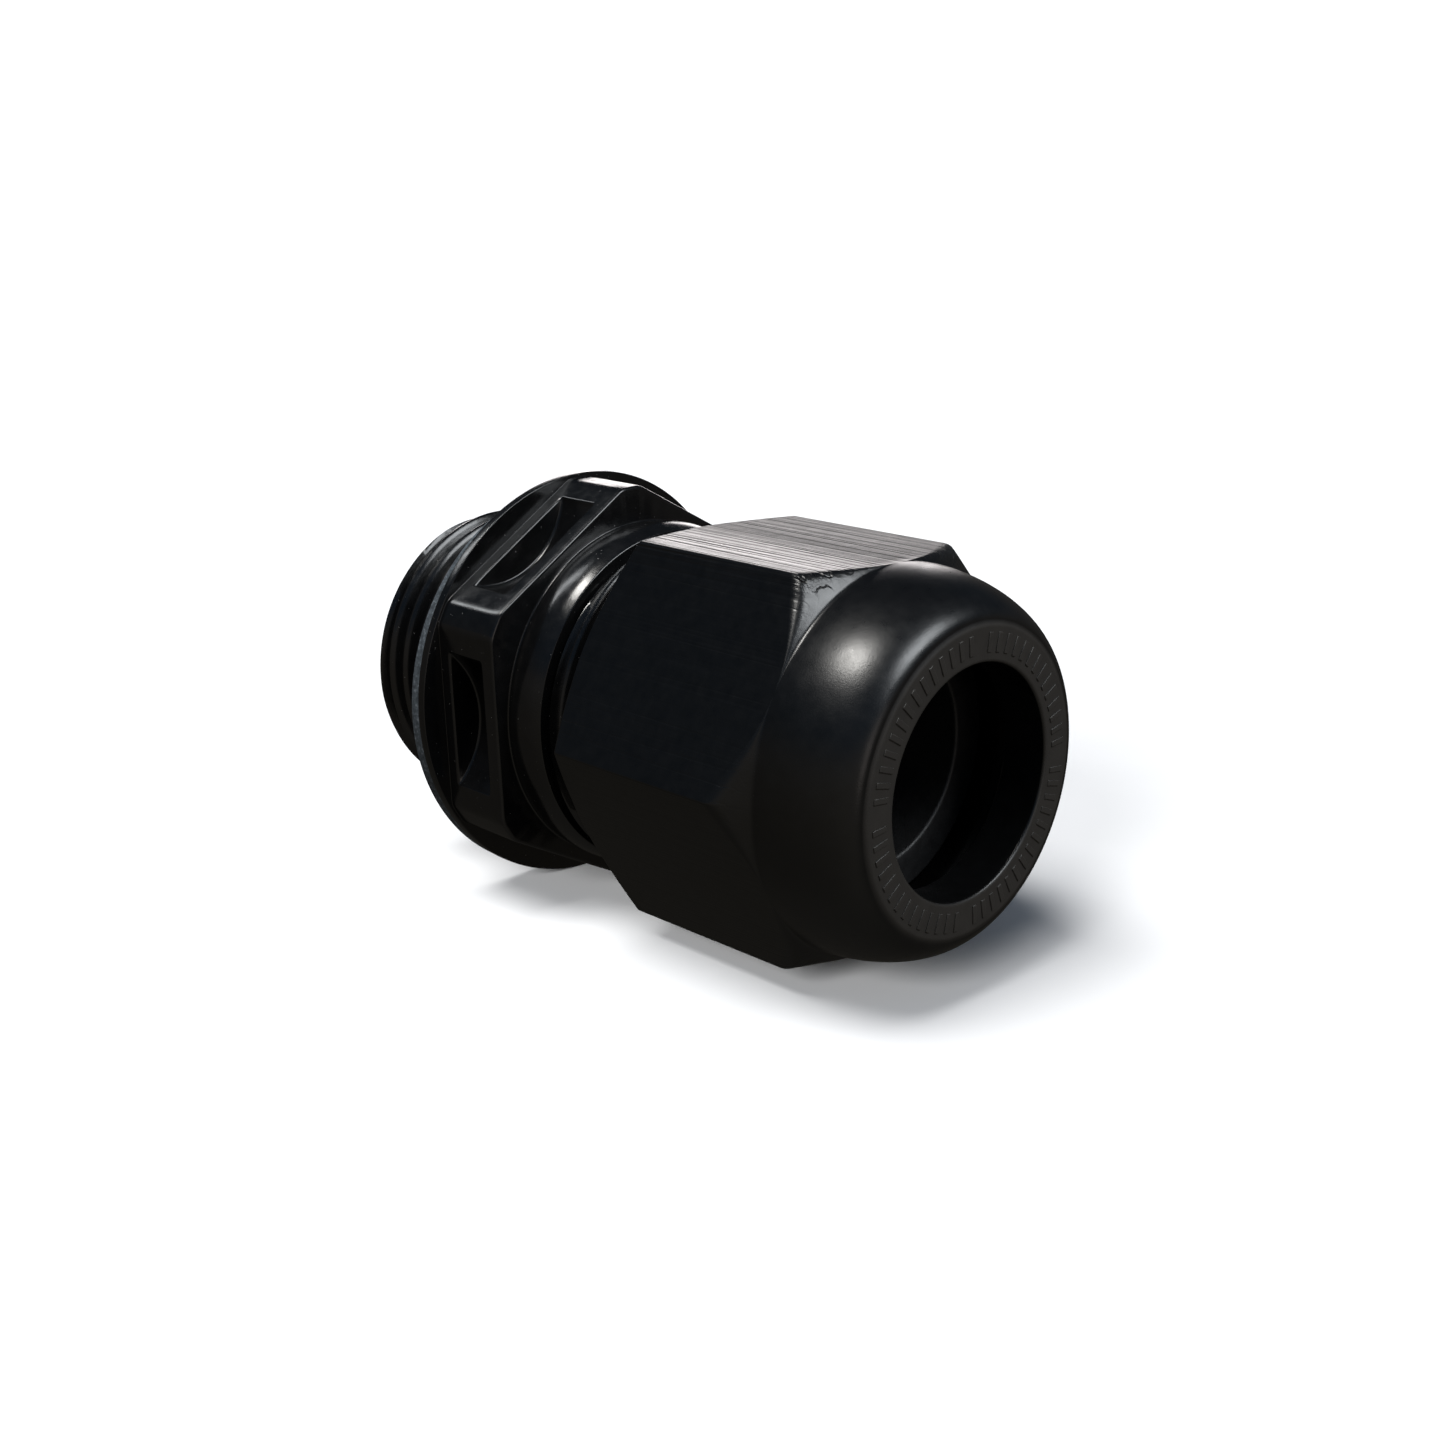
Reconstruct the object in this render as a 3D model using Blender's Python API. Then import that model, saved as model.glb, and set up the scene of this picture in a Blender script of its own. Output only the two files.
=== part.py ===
"""Cable gland, M20 x 1.5, black nylon, lying on its side with the dome nut screwed part of the way on.

Frame: the gland's axis runs along X at the height of the flange radius, +X points to the dome nut's front,
+Z is up, and the origin is at the middle of the bounding box's bottom face.
Angles about the axis are measured from +Y towards +Z, the right-hand rule about +X.
Every turned piece is made as a ring of columns: a column is the piece's outline in the half plane at one
angle, so one outline can hold round stretches, hexagon flats, pockets and a helical thread.
"""
import math

import bmesh
import bpy
from mathutils import Matrix, Vector

MM = 0.001

# Overall layout along the axis, from the nut's front face backwards
OVERALL = 42.73 * MM
FRONT_X = OVERALL / 2
NUT_LENGTH = 21.2 * MM
COLLAR_FRONT = 24.5 * MM
HEX_FRONT = 27.3 * MM
FLANGE_FRONT = 32.45 * MM
FLANGE_REAR = 33.05 * MM
GASKET_REAR = 34.3 * MM

# Shared radii and fits
FLANGE_R = 13.65 * MM
AXIS_Z = FLANGE_R
PITCH = 1.5 * MM
THREAD_DEPTH = 0.92 * MM
CREST_SHARE = 0.14
FLANK_SHARE = 0.31
THREAD_GAP = 0.25 * MM
PIECE_GAP = 0.1 * MM
WELD = 0.001 * MM

# Gland body
SPIGOT_CREST_R = 9.9 * MM
SPIGOT_END_R = 9.6 * MM
SPIGOT_BORE_R = 7.6 * MM
SPIGOT_START = 0.2 * MM
SPIGOT_PHASE = 0.3 * MM
NECK_R = 9.3 * MM
BODY_FLAT_R = 12.0 * MM
BODY_FLAT_ANGLE = math.radians(3.3)
BODY_CORNER_R = 13.4 * MM
POCKET_FRONT = 28.45 * MM
POCKET_REAR = 31.6 * MM
POCKET_SCOOP_R = 5.84 * MM
POCKET_SCOOP_CENTRE = 15.84 * MM
COLLAR_R = 11.25 * MM
COLLAR_EDGE_R = 10.83 * MM
COLLAR_FOOT_R = 11.05 * MM
COLLAR_PROFILE = ((0.7, -0.04), (1.45, 0.0), (2.2, -0.13))
CAP_CREST_R = 10.8 * MM
CAP_THREAD_FRONT = 15.0 * MM
CAP_PHASE = -23.7 * MM
CROWN_FRONT = 14.1 * MM
CROWN_R = 9.7 * MM
CROWN_LENGTH = 0.5 * MM
SEAT_R = 8.6 * MM
SEAT_REAR = 17.3 * MM

# Flange gasket: it lies loose round the neck, and has dropped a little
GASKET_R = 13.25 * MM
GASKET_BORE_R = 10.45 * MM
GASKET_DROP = 0.4 * MM

# Dome nut
NUT_FLAT_R = 11.665 * MM
NUT_FLAT_ANGLE = math.radians(30.0)
NUT_BORE_R = 6.9 * MM
NUT_BORE_CHAMFER = 0.15 * MM
NUT_LAND = 3.05 * MM
NUT_FACE_R = 9.0 * MM
NUT_RIM_R = 9.3 * MM
NUT_RIM = 0.19 * MM
DOME_LENGTH = 6.0 * MM
DOME_FULLNESS = 1.75
DOME_STEPS = 6
SHOULDER_SLOPE = math.tan(math.radians(51.0))
REAR_SLOPE = math.tan(math.radians(61.0))
NUT_MOUTH_R = 11.2 * MM
NUT_UNDERCUT_R = 9.1 * MM
NUT_CONE_FRONT = 4.9 * MM
NUT_CONE_REAR = 8.5 * MM
NUT_CAVITY_R = 10.05 * MM
NUT_THREAD_FRONT = 11.5 * MM

# Seal
SEAL_FRONT = 6.2 * MM
SEAL_REAR = 17.0 * MM
SEAL_BORE_R = 6.45 * MM
SEAL_COLLAR_R = 8.8 * MM
SEAL_COLLAR = 0.6 * MM
SEAL_NOSE_R = 7.6 * MM
SEAL_TAIL_R = 8.3 * MM
SEAL_CHAMFER = 0.25 * MM
SEAL_LEAD = 1.5 * MM
SEAL_LEAD_RISE = 0.6 * MM

# Clamping fingers
FINGER_COUNT = 10
FINGER_ROOT = 13.8 * MM
FINGER_MID_R = 9.225 * MM
FINGER_HALF_SPAN = math.radians(15.2)
FINGER_TILT = math.radians(5.0)
FINGER_STEPS = 4
FINGER_SECTION = (
    (0.0, -0.25),
    (0.8, -0.475),
    (6.8, -0.475),
    (6.8, 0.2),
    (6.2, 0.475),
    (0.8, 0.475),
    (0.0, 0.25),
)

FULL_TURN = 2 * math.pi
SIXTH = FULL_TURN / 6


def clear_scene():
    for obj in list(bpy.data.objects):
        bpy.data.objects.remove(obj, do_unlink=True)


def along(depth):
    """X of a place that lies this far behind the nut's front face."""
    return FRONT_X - depth


def point(x, radius, angle):
    return Vector((x, radius * math.cos(angle), AXIS_Z + radius * math.sin(angle)))


def material(name, colour, roughness):
    mat = bpy.data.materials.new(name)
    mat.use_nodes = True
    shader = mat.node_tree.nodes["Principled BSDF"]
    shader.inputs["Base Color"].default_value = (*colour, 1.0)
    shader.inputs["Roughness"].default_value = roughness
    shader.inputs["Metallic"].default_value = 0.0
    return mat


def add_object(name, bm, mat):
    bmesh.ops.remove_doubles(bm, verts=bm.verts[:], dist=WELD)
    bmesh.ops.recalc_face_normals(bm, faces=bm.faces[:])
    mesh = bpy.data.meshes.new(name)
    bm.to_mesh(mesh)
    bm.free()
    mesh.shade_smooth()
    mesh.set_sharp_from_angle(angle=math.radians(30))
    mesh.materials.append(mat)
    obj = bpy.data.objects.new(name, mesh)
    bpy.context.collection.objects.link(obj)
    return obj


def bridge(bm, left, right):
    """Faces between two neighbouring columns, which share most of their keys."""
    right_place = {key: place for place, (key, _) in enumerate(right)}
    shared = [place for place, (key, _) in enumerate(left) if key in right_place]
    for index, start in enumerate(shared):
        end = shared[(index + 1) % len(shared)]
        near = stretch(left, start, end)
        far = stretch(right, right_place[left[start][0]], right_place[left[end][0]])
        bm.faces.new(near + far[::-1])


def stretch(column, start, end):
    if end <= start:
        end += len(column)
    return [column[place % len(column)][1] for place in range(start, end + 1)]


def turned(name, angles, outline, mat):
    """A ring-shaped solid: outline(angle) gives (key, x, radius) round the section at that angle."""
    bm = bmesh.new()
    columns = []
    for angle in angles:
        column = [(key, bm.verts.new(point(x, radius, angle))) for key, x, radius in outline(angle)]
        columns.append(column)
    # One turn on, the outline is the same but its helix lines have moved up by a pitch.
    last = outline(angles[0] + FULL_TURN)
    columns.append([(key, vert) for (key, _, _), (_, vert) in zip(last, columns[0])])
    for left, right in zip(columns, columns[1:]):
        bridge(bm, left, right)
    return add_object(name, bm, mat)


def even_angles(count):
    return [FULL_TURN * step / count for step in range(count)]


def hexagon_angles(first_flat, offsets):
    return [first_flat + SIXTH * side + offset for side in range(6) for offset in offsets]


def from_flat(angle, first_flat):
    """Angle from the middle of the nearest hexagon flat, -30 to 30 degrees."""
    return (angle - first_flat + SIXTH / 2) % SIXTH - SIXTH / 2


def thread_radius(turn, root, crest):
    """Radius at a place across one pitch: crest, flank down, root, flank up."""
    share = turn % 1.0
    if share < CREST_SHARE:
        return crest
    if share < CREST_SHARE + FLANK_SHARE:
        return crest - (crest - root) * (share - CREST_SHARE) / FLANK_SHARE
    if share < 1.0 - FLANK_SHARE:
        return root
    return crest - (crest - root) * (1.0 - share) / FLANK_SHARE


def thread_lines(name, angle, low, high, phase, root, crest, limit):
    """Thread outline from low to high at this angle. limit(x, radius) trims its ends."""
    corners = (0.0, CREST_SHARE, CREST_SHARE + FLANK_SHARE, 1.0 - FLANK_SHARE)
    start = phase + PITCH * angle / FULL_TURN
    spare = 0.03 * MM
    rows = [((name, "low"), low, limit(low, thread_radius((low - start) / PITCH, root, crest)))]
    first = math.floor((low - start) / PITCH)
    last = math.ceil((high - start) / PITCH)
    for pitch_number in range(first, last + 1):
        for corner, share in enumerate(corners):
            x = start + (pitch_number + share) * PITCH
            if low + spare < x < high - spare:
                radius = crest if corner < 2 else root
                rows.append(((name, pitch_number, corner), x, limit(x, radius)))
    rows.append(((name, "high"), high, limit(high, thread_radius((high - start) / PITCH, root, crest))))
    return rows


def numbered(name, outline):
    return [((name, place), x, radius) for place, (x, radius) in enumerate(outline)]


def spigot_limit(x, radius):
    """The connection thread is chamfered at the rear and runs out into the neck."""
    root = SPIGOT_CREST_R - THREAD_DEPTH
    chamfer = SPIGOT_END_R + (x - along(OVERALL))
    run_out = NECK_R + (along(GASKET_REAR) - x)
    return max(min(radius, chamfer, run_out), root - PIECE_GAP)


def cap_limit(x, radius):
    """The cap thread rises from a groove behind it and is chamfered at its front."""
    root = CAP_CREST_R - THREAD_DEPTH
    groove = root + 1.5 * (x - along(COLLAR_FRONT))
    chamfer = root + (along(CAP_THREAD_FRONT) - x)
    return max(min(radius, groove, chamfer), root - PIECE_GAP)


def nut_limit(x, radius):
    """The nut's thread opens out at the rear and fades into the cavity at its front."""
    mouth = NUT_MOUTH_R - (x - along(NUT_LENGTH))
    fade = NUT_CAVITY_R + THREAD_GAP / 2 + (along(NUT_THREAD_FRONT) - x)
    return min(max(radius, mouth), fade)


def body_outline(angle):
    """Section of the gland body: spigot, neck, flange, hexagon with pockets, collar, cap thread, crown."""
    offset = from_flat(angle, BODY_FLAT_ANGLE)
    flat = min(BODY_FLAT_R / math.cos(offset), BODY_CORNER_R)
    floor = flat
    reach = POCKET_SCOOP_R ** 2 - (POCKET_SCOOP_CENTRE * math.sin(offset)) ** 2
    if reach > 0:
        floor = min(flat, POCKET_SCOOP_CENTRE * math.cos(offset) - math.sqrt(reach))
    spigot_root = SPIGOT_CREST_R - THREAD_DEPTH
    rear = [(along(OVERALL), SPIGOT_BORE_R)]
    spigot = thread_lines("spigot", angle, along(OVERALL), along(GASKET_REAR + SPIGOT_START), SPIGOT_PHASE,
                          spigot_root, SPIGOT_CREST_R, spigot_limit)
    middle = [
        (along(GASKET_REAR), NECK_R),
        (along(FLANGE_REAR), NECK_R),
        (along(FLANGE_REAR), FLANGE_R),
        (along(FLANGE_FRONT), FLANGE_R),
        (along(FLANGE_FRONT), flat),
        (along(POCKET_REAR), flat),
        (along(POCKET_REAR), floor),
        (along(POCKET_FRONT), floor),
        (along(POCKET_FRONT), flat),
        (along(HEX_FRONT), flat),
        (along(HEX_FRONT), COLLAR_FOOT_R),
    ]
    middle += [(along(HEX_FRONT - ahead * MM), COLLAR_R + rise * MM) for ahead, rise in COLLAR_PROFILE]
    middle.append((along(COLLAR_FRONT), COLLAR_EDGE_R))
    cap = thread_lines("cap", angle, along(COLLAR_FRONT), along(CAP_THREAD_FRONT), FRONT_X + CAP_PHASE,
                       CAP_CREST_R - THREAD_DEPTH, CAP_CREST_R, cap_limit)
    crown = [
        (along(CROWN_FRONT + CROWN_LENGTH), CROWN_R),
        (along(CROWN_FRONT), CROWN_R),
        (along(CROWN_FRONT), SEAT_R),
        (along(SEAT_REAR), SEAT_R),
        (along(SEAT_REAR), SPIGOT_BORE_R),
    ]
    return numbered("rear", rear) + spigot + numbered("middle", middle) + cap + numbered("crown", crown)


def make_gland_body(mat):
    edge = math.acos(BODY_FLAT_R / BODY_CORNER_R)
    rim = POCKET_SCOOP_CENTRE - BODY_FLAT_R
    pocket = math.atan(math.sqrt(POCKET_SCOOP_R ** 2 - rim ** 2) / BODY_FLAT_R)
    offsets = (-edge, -pocket, -pocket / 2, 0.0, pocket / 2, pocket, edge)
    # The quarter turns bring the round flange out to its full width and height.
    angles = sorted(hexagon_angles(BODY_FLAT_ANGLE, offsets) + even_angles(4))
    return turned("gland_body", angles, body_outline, mat)


def dome_radius(depth):
    """Convex dome from the front rim to the flats, flattening out where it meets them."""
    share = (DOME_LENGTH - depth) / (DOME_LENGTH - NUT_RIM)
    rise = (1.0 - share ** DOME_FULLNESS) ** (1.0 / DOME_FULLNESS)
    return NUT_RIM_R + (NUT_FLAT_R - NUT_RIM_R) * rise


def dome_depths(steps):
    """Depths of the dome's points, closer together at the front where it curves most."""
    span = DOME_LENGTH - NUT_RIM
    return [NUT_RIM + span * (1.0 - math.cos(math.pi / 2 * step / steps)) for step in range(steps + 1)]


def nut_outline(angle):
    """Section of the dome nut: bore land, front ring, dome, shoulder, flats, mouth, thread, cavity."""
    flat = NUT_FLAT_R / math.cos(from_flat(angle, NUT_FLAT_ANGLE))
    rise = flat - NUT_FLAT_R
    dome = [(along(depth), dome_radius(depth)) for depth in dome_depths(DOME_STEPS)]
    outside = [
        (along(NUT_BORE_CHAMFER), NUT_BORE_R),
        (along(0.0), NUT_BORE_R + NUT_BORE_CHAMFER),
        (along(0.0), NUT_FACE_R),
    ] + dome + [
        (along(DOME_LENGTH + rise / SHOULDER_SLOPE), flat),
        (along(NUT_LENGTH - rise / REAR_SLOPE), flat),
        (along(NUT_LENGTH), NUT_FLAT_R),
        (along(NUT_LENGTH), NUT_MOUTH_R + WELD),
    ]
    thread = thread_lines("nut", angle, along(NUT_LENGTH), along(NUT_THREAD_FRONT), FRONT_X + CAP_PHASE,
                          CAP_CREST_R - THREAD_DEPTH + THREAD_GAP, CAP_CREST_R + THREAD_GAP, nut_limit)
    inside = [
        (along(NUT_CONE_REAR), NUT_CAVITY_R),
        (along(NUT_CONE_FRONT), NUT_UNDERCUT_R),
        (along(NUT_LAND), NUT_UNDERCUT_R),
        (along(NUT_LAND), NUT_BORE_R),
    ]
    return numbered("outside", outside) + thread + numbered("inside", inside)


def make_dome_nut(mat):
    offsets = [SIXTH * step / 6 - SIXTH / 2 for step in range(6)]
    return turned("dome_nut", hexagon_angles(NUT_FLAT_ANGLE, offsets), nut_outline, mat)


def make_flange_gasket(mat):
    outline = numbered("gasket", [
        (along(GASKET_REAR), GASKET_BORE_R),
        (along(GASKET_REAR), GASKET_R),
        (along(FLANGE_REAR + PIECE_GAP), GASKET_R),
        (along(FLANGE_REAR + PIECE_GAP), GASKET_BORE_R),
    ])
    gasket = turned("flange_gasket", even_angles(40), lambda angle: outline, mat)
    gasket.data.transform(Matrix.Translation((0.0, 0.0, -GASKET_DROP)))
    return gasket


def make_seal(mat):
    outline = numbered("seal", [
        (along(SEAL_FRONT + SEAL_CHAMFER), SEAL_BORE_R),
        (along(SEAL_FRONT), SEAL_BORE_R + SEAL_CHAMFER),
        (along(SEAL_FRONT), SEAL_COLLAR_R - SEAL_CHAMFER),
        (along(SEAL_FRONT + SEAL_CHAMFER), SEAL_COLLAR_R),
        (along(SEAL_FRONT + SEAL_COLLAR), SEAL_COLLAR_R),
        (along(SEAL_FRONT + SEAL_COLLAR), SEAL_NOSE_R),
        (along(FINGER_ROOT), SEAL_TAIL_R),
        (along(SEAL_REAR), SEAL_TAIL_R),
        (along(SEAL_REAR), SEAL_BORE_R + SEAL_LEAD_RISE),
        (along(SEAL_REAR - SEAL_LEAD), SEAL_BORE_R),
    ])
    return turned("seal", even_angles(40), lambda angle: outline, mat)


def finger_mesh():
    """One clamping finger, parallel to X, with its root on the Y axis and the gland's axis below it."""
    bm = bmesh.new()
    sections = []
    for step in range(FINGER_STEPS + 1):
        angle = FINGER_HALF_SPAN * (2 * step / FINGER_STEPS - 1)
        section = []
        for forward, outward in FINGER_SECTION:
            radius = FINGER_MID_R + outward * MM
            height = radius * math.cos(angle) - FINGER_MID_R
            section.append(bm.verts.new((forward * MM, radius * math.sin(angle), height)))
        sections.append(section)
    for left, right in zip(sections, sections[1:]):
        for place in range(len(left)):
            following = (place + 1) % len(left)
            bm.faces.new((left[place], left[following], right[following], right[place]))
    bm.faces.new(sections[0][::-1])
    bm.faces.new(sections[-1])
    return bm


def make_fingers(mat):
    """Ten fingers round the crown, each with its origin on its living hinge, tilted in by the nut's cone."""
    for number in range(FINGER_COUNT):
        angle = FULL_TURN * number / FINGER_COUNT
        finger = add_object(f"clamping_finger_{number + 1:02d}", finger_mesh(), mat)
        finger.location = point(along(FINGER_ROOT), FINGER_MID_R, angle)
        around = Matrix.Rotation(angle - math.pi / 2, 4, "X")
        inward = Matrix.Rotation(FINGER_TILT, 4, "Y")
        finger.rotation_euler = (around @ inward).to_euler()


def main():
    clear_scene()
    nylon = (0.016, 0.016, 0.018)
    make_gland_body(material("body_nylon", nylon, 0.38))
    make_flange_gasket(material("gasket_fibre", (0.05, 0.055, 0.06), 0.8))
    make_fingers(material("finger_nylon", nylon, 0.42))
    make_seal(material("seal_rubber", (0.02, 0.02, 0.02), 0.6))
    make_dome_nut(material("nut_nylon", nylon, 0.32))


main()
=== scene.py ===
"""Looks of the cable gland: finer turned meshes with rounded edges, moulded nylon and rubber, studio light.

Every piece lies round the gland's axis, which runs along X. Places along the axis are given as depths
behind the dome nut's front face, and angles are measured from +Y towards +Z.
"""
import math

import bmesh
import bpy
from mathutils import Matrix, Vector


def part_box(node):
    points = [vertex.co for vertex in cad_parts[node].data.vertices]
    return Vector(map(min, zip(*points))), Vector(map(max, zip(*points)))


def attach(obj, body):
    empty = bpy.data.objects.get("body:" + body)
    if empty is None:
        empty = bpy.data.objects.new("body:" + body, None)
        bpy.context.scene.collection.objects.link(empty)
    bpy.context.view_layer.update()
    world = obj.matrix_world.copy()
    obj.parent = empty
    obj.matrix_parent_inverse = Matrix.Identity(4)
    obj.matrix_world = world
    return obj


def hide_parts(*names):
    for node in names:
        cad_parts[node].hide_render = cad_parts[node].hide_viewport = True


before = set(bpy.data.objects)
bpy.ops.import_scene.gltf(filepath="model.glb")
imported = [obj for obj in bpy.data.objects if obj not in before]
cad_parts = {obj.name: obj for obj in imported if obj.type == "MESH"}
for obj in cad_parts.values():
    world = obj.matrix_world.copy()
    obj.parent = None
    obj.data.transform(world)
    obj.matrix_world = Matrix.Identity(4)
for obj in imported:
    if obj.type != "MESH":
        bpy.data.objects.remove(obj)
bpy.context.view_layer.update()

MM = 0.001
FULL_TURN = 2 * math.pi
SIXTH = FULL_TURN / 6

# Places from the frame
NUT_LOW, NUT_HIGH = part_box("dome_nut")
BODY_LOW, BODY_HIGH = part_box("gland_body")
GASKET_LOW, GASKET_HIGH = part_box("flange_gasket")
SEAL_LOW, SEAL_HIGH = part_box("seal")
FRONT_X = NUT_HIGH.x
AXIS_Y = (BODY_LOW.y + BODY_HIGH.y) / 2
AXIS_Z = (BODY_LOW.z + BODY_HIGH.z) / 2
FLANGE_R = (BODY_HIGH.z - BODY_LOW.z) / 2
GASKET_R = (GASKET_HIGH.z - GASKET_LOW.z) / 2
GASKET_DROP = AXIS_Z - (GASKET_LOW.z + GASKET_HIGH.z) / 2
NUT_LENGTH = NUT_HIGH.x - NUT_LOW.x
NUT_FLAT_R = (NUT_HIGH.z - NUT_LOW.z) / 2
OVERALL = NUT_HIGH.x - BODY_LOW.x

# Threads: the cap thread is shared by the gland body and the nut
PITCH = 1.5 * MM
THREAD_DEPTH = 0.92 * MM
THREAD_RELIEF = 0.1 * MM
CREST_CENTRE = 0.07
CREST_HALF_WIDTH = 0.05
FLANK_WIDTH = 0.34
FLANK_STRAIGHT = 0.55
THREAD_GAP = 0.25 * MM
SPIGOT_CREST_R = 9.9 * MM
SPIGOT_END_R = 9.6 * MM
SPIGOT_PHASE = 0.3 * MM
SPIGOT_START = 0.2 * MM
CAP_CREST_R = 10.8 * MM
CAP_GROOVE_SLOPE = 1.5
CAP_PHASE = FRONT_X - 23.7 * MM

# Gland body
BORE_R = 7.6 * MM
NECK_R = 9.3 * MM
GASKET_REAR = 34.3 * MM
FLANGE_REAR = 33.05 * MM
FLANGE_FRONT = 32.45 * MM
HEX_FRONT = 27.3 * MM
COLLAR_FRONT = 24.5 * MM
BODY_FLAT_R = 12.0 * MM
BODY_FLAT_ANGLE = math.radians(3.3)
BODY_CORNER_R = 13.4 * MM
POCKET_FRONT = 28.45 * MM
POCKET_REAR = 31.6 * MM
POCKET_SLANT = 0.1 * MM
POCKET_RIM = 0.18 * MM
POCKET_FOOT = 0.25 * MM
SCOOP_R = 5.84 * MM
SCOOP_CENTRE = 15.84 * MM
SCOOP_EDGE = 0.07 * MM
HEX_EDGE = 0.24 * MM
BODY_CORNER_SOFT = 0.15 * MM
# Collar: distance in front of the hexagon, radius, fillet
COLLAR_PROFILE = (
    (0.0, 11.05 * MM, 0.15 * MM),
    (0.35 * MM, 11.1 * MM, 0.1 * MM),
    (0.8 * MM, 11.21 * MM, 0.5 * MM),
    (1.5 * MM, 11.25 * MM, 0.5 * MM),
    (2.2 * MM, 11.12 * MM, 0.5 * MM),
)
COLLAR_EDGE_R = 10.83 * MM
COLLAR_LIP = 0.02 * MM
CAP_THREAD_FRONT = 15.0 * MM
CROWN_FRONT = 14.1 * MM
CROWN_LENGTH = 0.5 * MM
CROWN_R = 9.7 * MM
SEAT_R = 8.6 * MM
SEAT_REAR = 17.3 * MM

# Dome nut
NUT_FLAT_ANGLE = math.radians(30.0)
NUT_CORNER_SOFT = 0.1 * MM
NUT_BORE_R = 6.9 * MM
NUT_BORE_FILLET = 0.25 * MM
NUT_LAND = 3.05 * MM
BAR_COUNT = 60
BAR_GROUP = 15
BAR_HEIGHT = 0.06 * MM
BAR_WIDTH = 0.34 * MM
BAR_INNER_R = 7.5 * MM
BAR_OUTER_R = 8.65 * MM
BAR_BEVEL = 0.03 * MM
NUT_RIM_R = 9.3 * MM
NUT_RIM = 0.19 * MM
NUT_FACE_R = 9.0 * MM
DOME_LENGTH = 6.0 * MM
DOME_FULLNESS = 1.75
DOME_STEPS = 22
DOME_FILLET = 0.35 * MM
SHOULDER_FILLET = 0.6 * MM
SHOULDER_SLOPE = math.tan(math.radians(51.0))
REAR_SLOPE = math.tan(math.radians(61.0))
REAR_FILLET = 0.15 * MM
REAR_STEP = 0.02 * MM
NUT_MOUTH_R = 11.2 * MM
NUT_UNDERCUT_R = 9.1 * MM
NUT_CONE_FRONT = 4.9 * MM
NUT_CONE_REAR = 8.5 * MM
CONE_FRONT_FILLET = 0.3 * MM
CONE_REAR_FILLET = 0.5 * MM
NUT_CAVITY_R = 10.05 * MM
NUT_THREAD_FRONT = 11.5 * MM

# Seal and gasket
SEAL_BORE_R = 6.45 * MM
SEAL_COLLAR_R = 8.8 * MM
SEAL_COLLAR = 0.6 * MM
SEAL_NOSE_R = 7.6 * MM
SEAL_TAIL_R = 8.3 * MM
SEAL_STEP_FILLET = 0.15 * MM
SEAL_BORE_FILLET = 0.25 * MM
SEAL_TAIL_FILLET = 0.4 * MM
SEAL_LEAD = 1.5 * MM
SEAL_LEAD_RISE = 0.6 * MM
GASKET_BORE_R = 10.45 * MM

# Clamping fingers
FINGER_COUNT = 10
FINGER_ROOT = 13.8 * MM
FINGER_MID_R = 9.225 * MM
FINGER_HALF_SPAN = math.radians(15.2)
FINGER_TILT = math.radians(5.0)
FINGER_STEPS = 12
FINGER_FILLET = 0.12
# Forward and outward from the middle of the root, in millimetres
FINGER_SECTION = (
    (0.0, -0.25), (0.8, -0.475), (6.8, -0.475), (6.8, 0.2), (6.2, 0.475), (0.8, 0.475), (0.0, 0.25),
)

# Meshes, and the angles in degrees at which a hexagon's side is cut into columns
WELD = 0.0015 * MM
FILLET_STEPS = 4
FILLET_SHARE = 0.45
THREAD_SAMPLES = 12
THREAD_END_GAP = 0.01 * MM
HALF_SIDE = 30
COARSE_STEP = 2.5
BODY_FINE_STEPS = (-0.8, -0.4, -0.2, 0.0, 0.2, 0.4, 0.8)
NUT_FINE_STEPS = (-1.0, -0.6, -0.3, -0.15, 0.0, 0.15, 0.3, 0.6, 1.0)
SHARP_ANGLE = math.radians(40)
FLAT_WEIGHT = 80
HAIR_EDGE = 0.05 * MM
FLANGE_EDGE = 0.08 * MM
FINE_EDGE = 0.1 * MM
EDGE = 0.12 * MM
SOFT_EDGE = 0.2 * MM
SEAT_FILLET = 0.3 * MM

# Materials. The nylons and the rubber: name, base grey, lowest and highest roughness, grain, dust
BODY_NYLON = ("gland_body_nylon", 0.004, 0.16, 0.26, 0.15, 0.4)
NUT_NYLON = ("dome_nut_nylon", 0.003, 0.27, 0.33, 0.2, 0.0)
FINGER_NYLON = ("finger_nylon_fine", 0.006, 0.25, 0.35, 0.2, 0.0)
SEAL_RUBBER = ("seal_rubber_fine", 0.008, 0.45, 0.6, 0.35, 0.0)
BLUE_TINT = 1.05
BLACK = (0, 0, 0)
WHITE = (1, 1, 1)
DUST_COLOUR = (0.35, 0.34, 0.33, 1.0)
# The front ring's lighter brown colour is a painted reflection of a brown surface below the gland
RING_PAINTED_REFLECTION = (0.030, 0.027, 0.024, 1.0)
RING_ROUGHNESS = 0.5
RING_FRONT = 0.05 * MM
RING_REAR = 0.2 * MM
GASKET_COLOURS = ((0.35, (0.04, 0.05, 0.06)), (0.55, (0.10, 0.12, 0.14)), (0.75, (0.40, 0.45, 0.50)))
# The nut's tool lines: how fine they are along X, Y and Z, and where they are strong or dull
GROOVE_SCALE = (9, 950, 950)
SCRATCH_SCALE = (28, 2100, 2100)
LINES_FADE = 0.9 * MM
LINES_LOW_Z = AXIS_Z + 0.9 * NUT_FLAT_R
LINES_HIGH_Z = AXIS_Z + 0.97 * NUT_FLAT_R
LINES_ELSEWHERE = 0.12
LINE_DEPTH = 0.11 * MM
DULLING = 0.16
DULL_FROM_Y = AXIS_Y - 3.5 * MM
DULL_TO_Y = AXIS_Y + 0.5 * MM

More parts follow.
